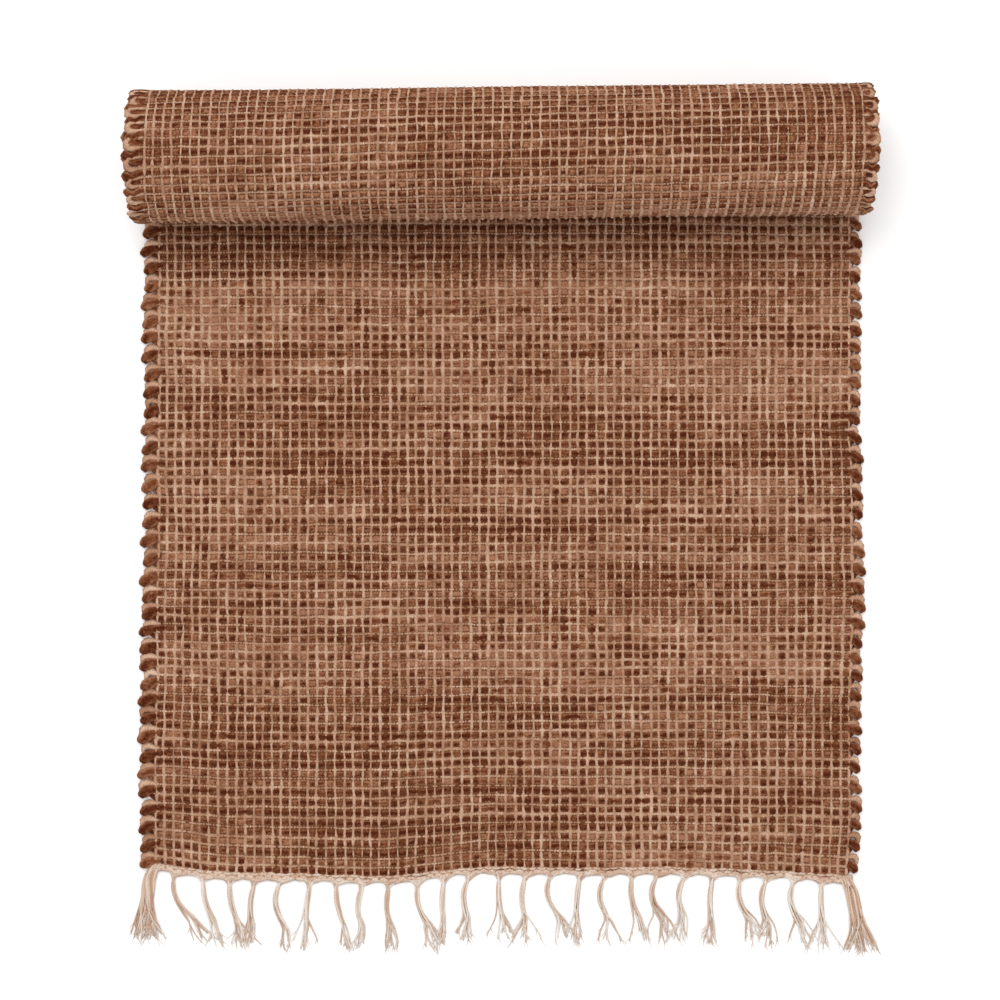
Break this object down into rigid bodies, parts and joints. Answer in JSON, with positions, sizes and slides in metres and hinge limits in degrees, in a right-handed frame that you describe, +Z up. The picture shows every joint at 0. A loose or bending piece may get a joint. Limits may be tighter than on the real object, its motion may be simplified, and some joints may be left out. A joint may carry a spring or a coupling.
{
  "type": "table runner",
  "caption": "Woven table runner of thick dyed and thin pale wefts on cotton warps, with looped selvedges and a tassel fringe, one end laid flat and the rest rolled up on it.",
  "frame": {"origin": "on the table, under the middle of the whole object's box", "axes": "+Y along the runner from its spread fringe towards the roll, +X across its width, +Z up from the table"},
  "size_m": [0.359, 0.4124, 0.0641],
  "materials": {
    "woven_cloth": "coarse matt open weave",
    "selvedge_yarn": "soft thick dark yarn",
    "cotton_heading": "matt pale cotton",
    "cotton_fringe": "matt twisted cotton"
  },
  "bodies": {
    "cloth": {"woven_field_laid": "woven_cloth", "woven_field_rolled": "woven_cloth", "selvedge_left_laid": "selvedge_yarn", "selvedge_left_rolled": "selvedge_yarn", "selvedge_right_laid": "selvedge_yarn", "selvedge_right_rolled": "selvedge_yarn", "heading_outer": "cotton_heading", "heading_inner": "cotton_heading", "inner_tassels": "cotton_fringe"},
    "fringe": {"tassel_01": "cotton_fringe", "tassel_02": "cotton_fringe", "tassel_03": "cotton_fringe", "tassel_04": "cotton_fringe", "tassel_05": "cotton_fringe", "tassel_06": "cotton_fringe", "tassel_07": "cotton_fringe", "tassel_08": "cotton_fringe", "tassel_09": "cotton_fringe", "tassel_10": "cotton_fringe", "tassel_11": "cotton_fringe", "tassel_12": "cotton_fringe", "tassel_13": "cotton_fringe", "tassel_14": "cotton_fringe", "tassel_15": "cotton_fringe", "tassel_16": "cotton_fringe", "tassel_17": "cotton_fringe", "tassel_18": "cotton_fringe", "tassel_19": "cotton_fringe", "tassel_20": "cotton_fringe", "tassel_21": "cotton_fringe", "tassel_22": "cotton_fringe", "tassel_23": "cotton_fringe", "tassel_24": "cotton_fringe", "tassel_25": "cotton_fringe", "tassel_26": "cotton_fringe", "tassel_27": "cotton_fringe"}
  },
  "joints": [
    {"name": "fringe_fold", "type": "hinge", "parent": "cloth", "child": "fringe", "pos_m": [0, -0.17217, 0.0028], "axis": [1, 0, 0], "range_deg": [-165, 0]}
  ]
}
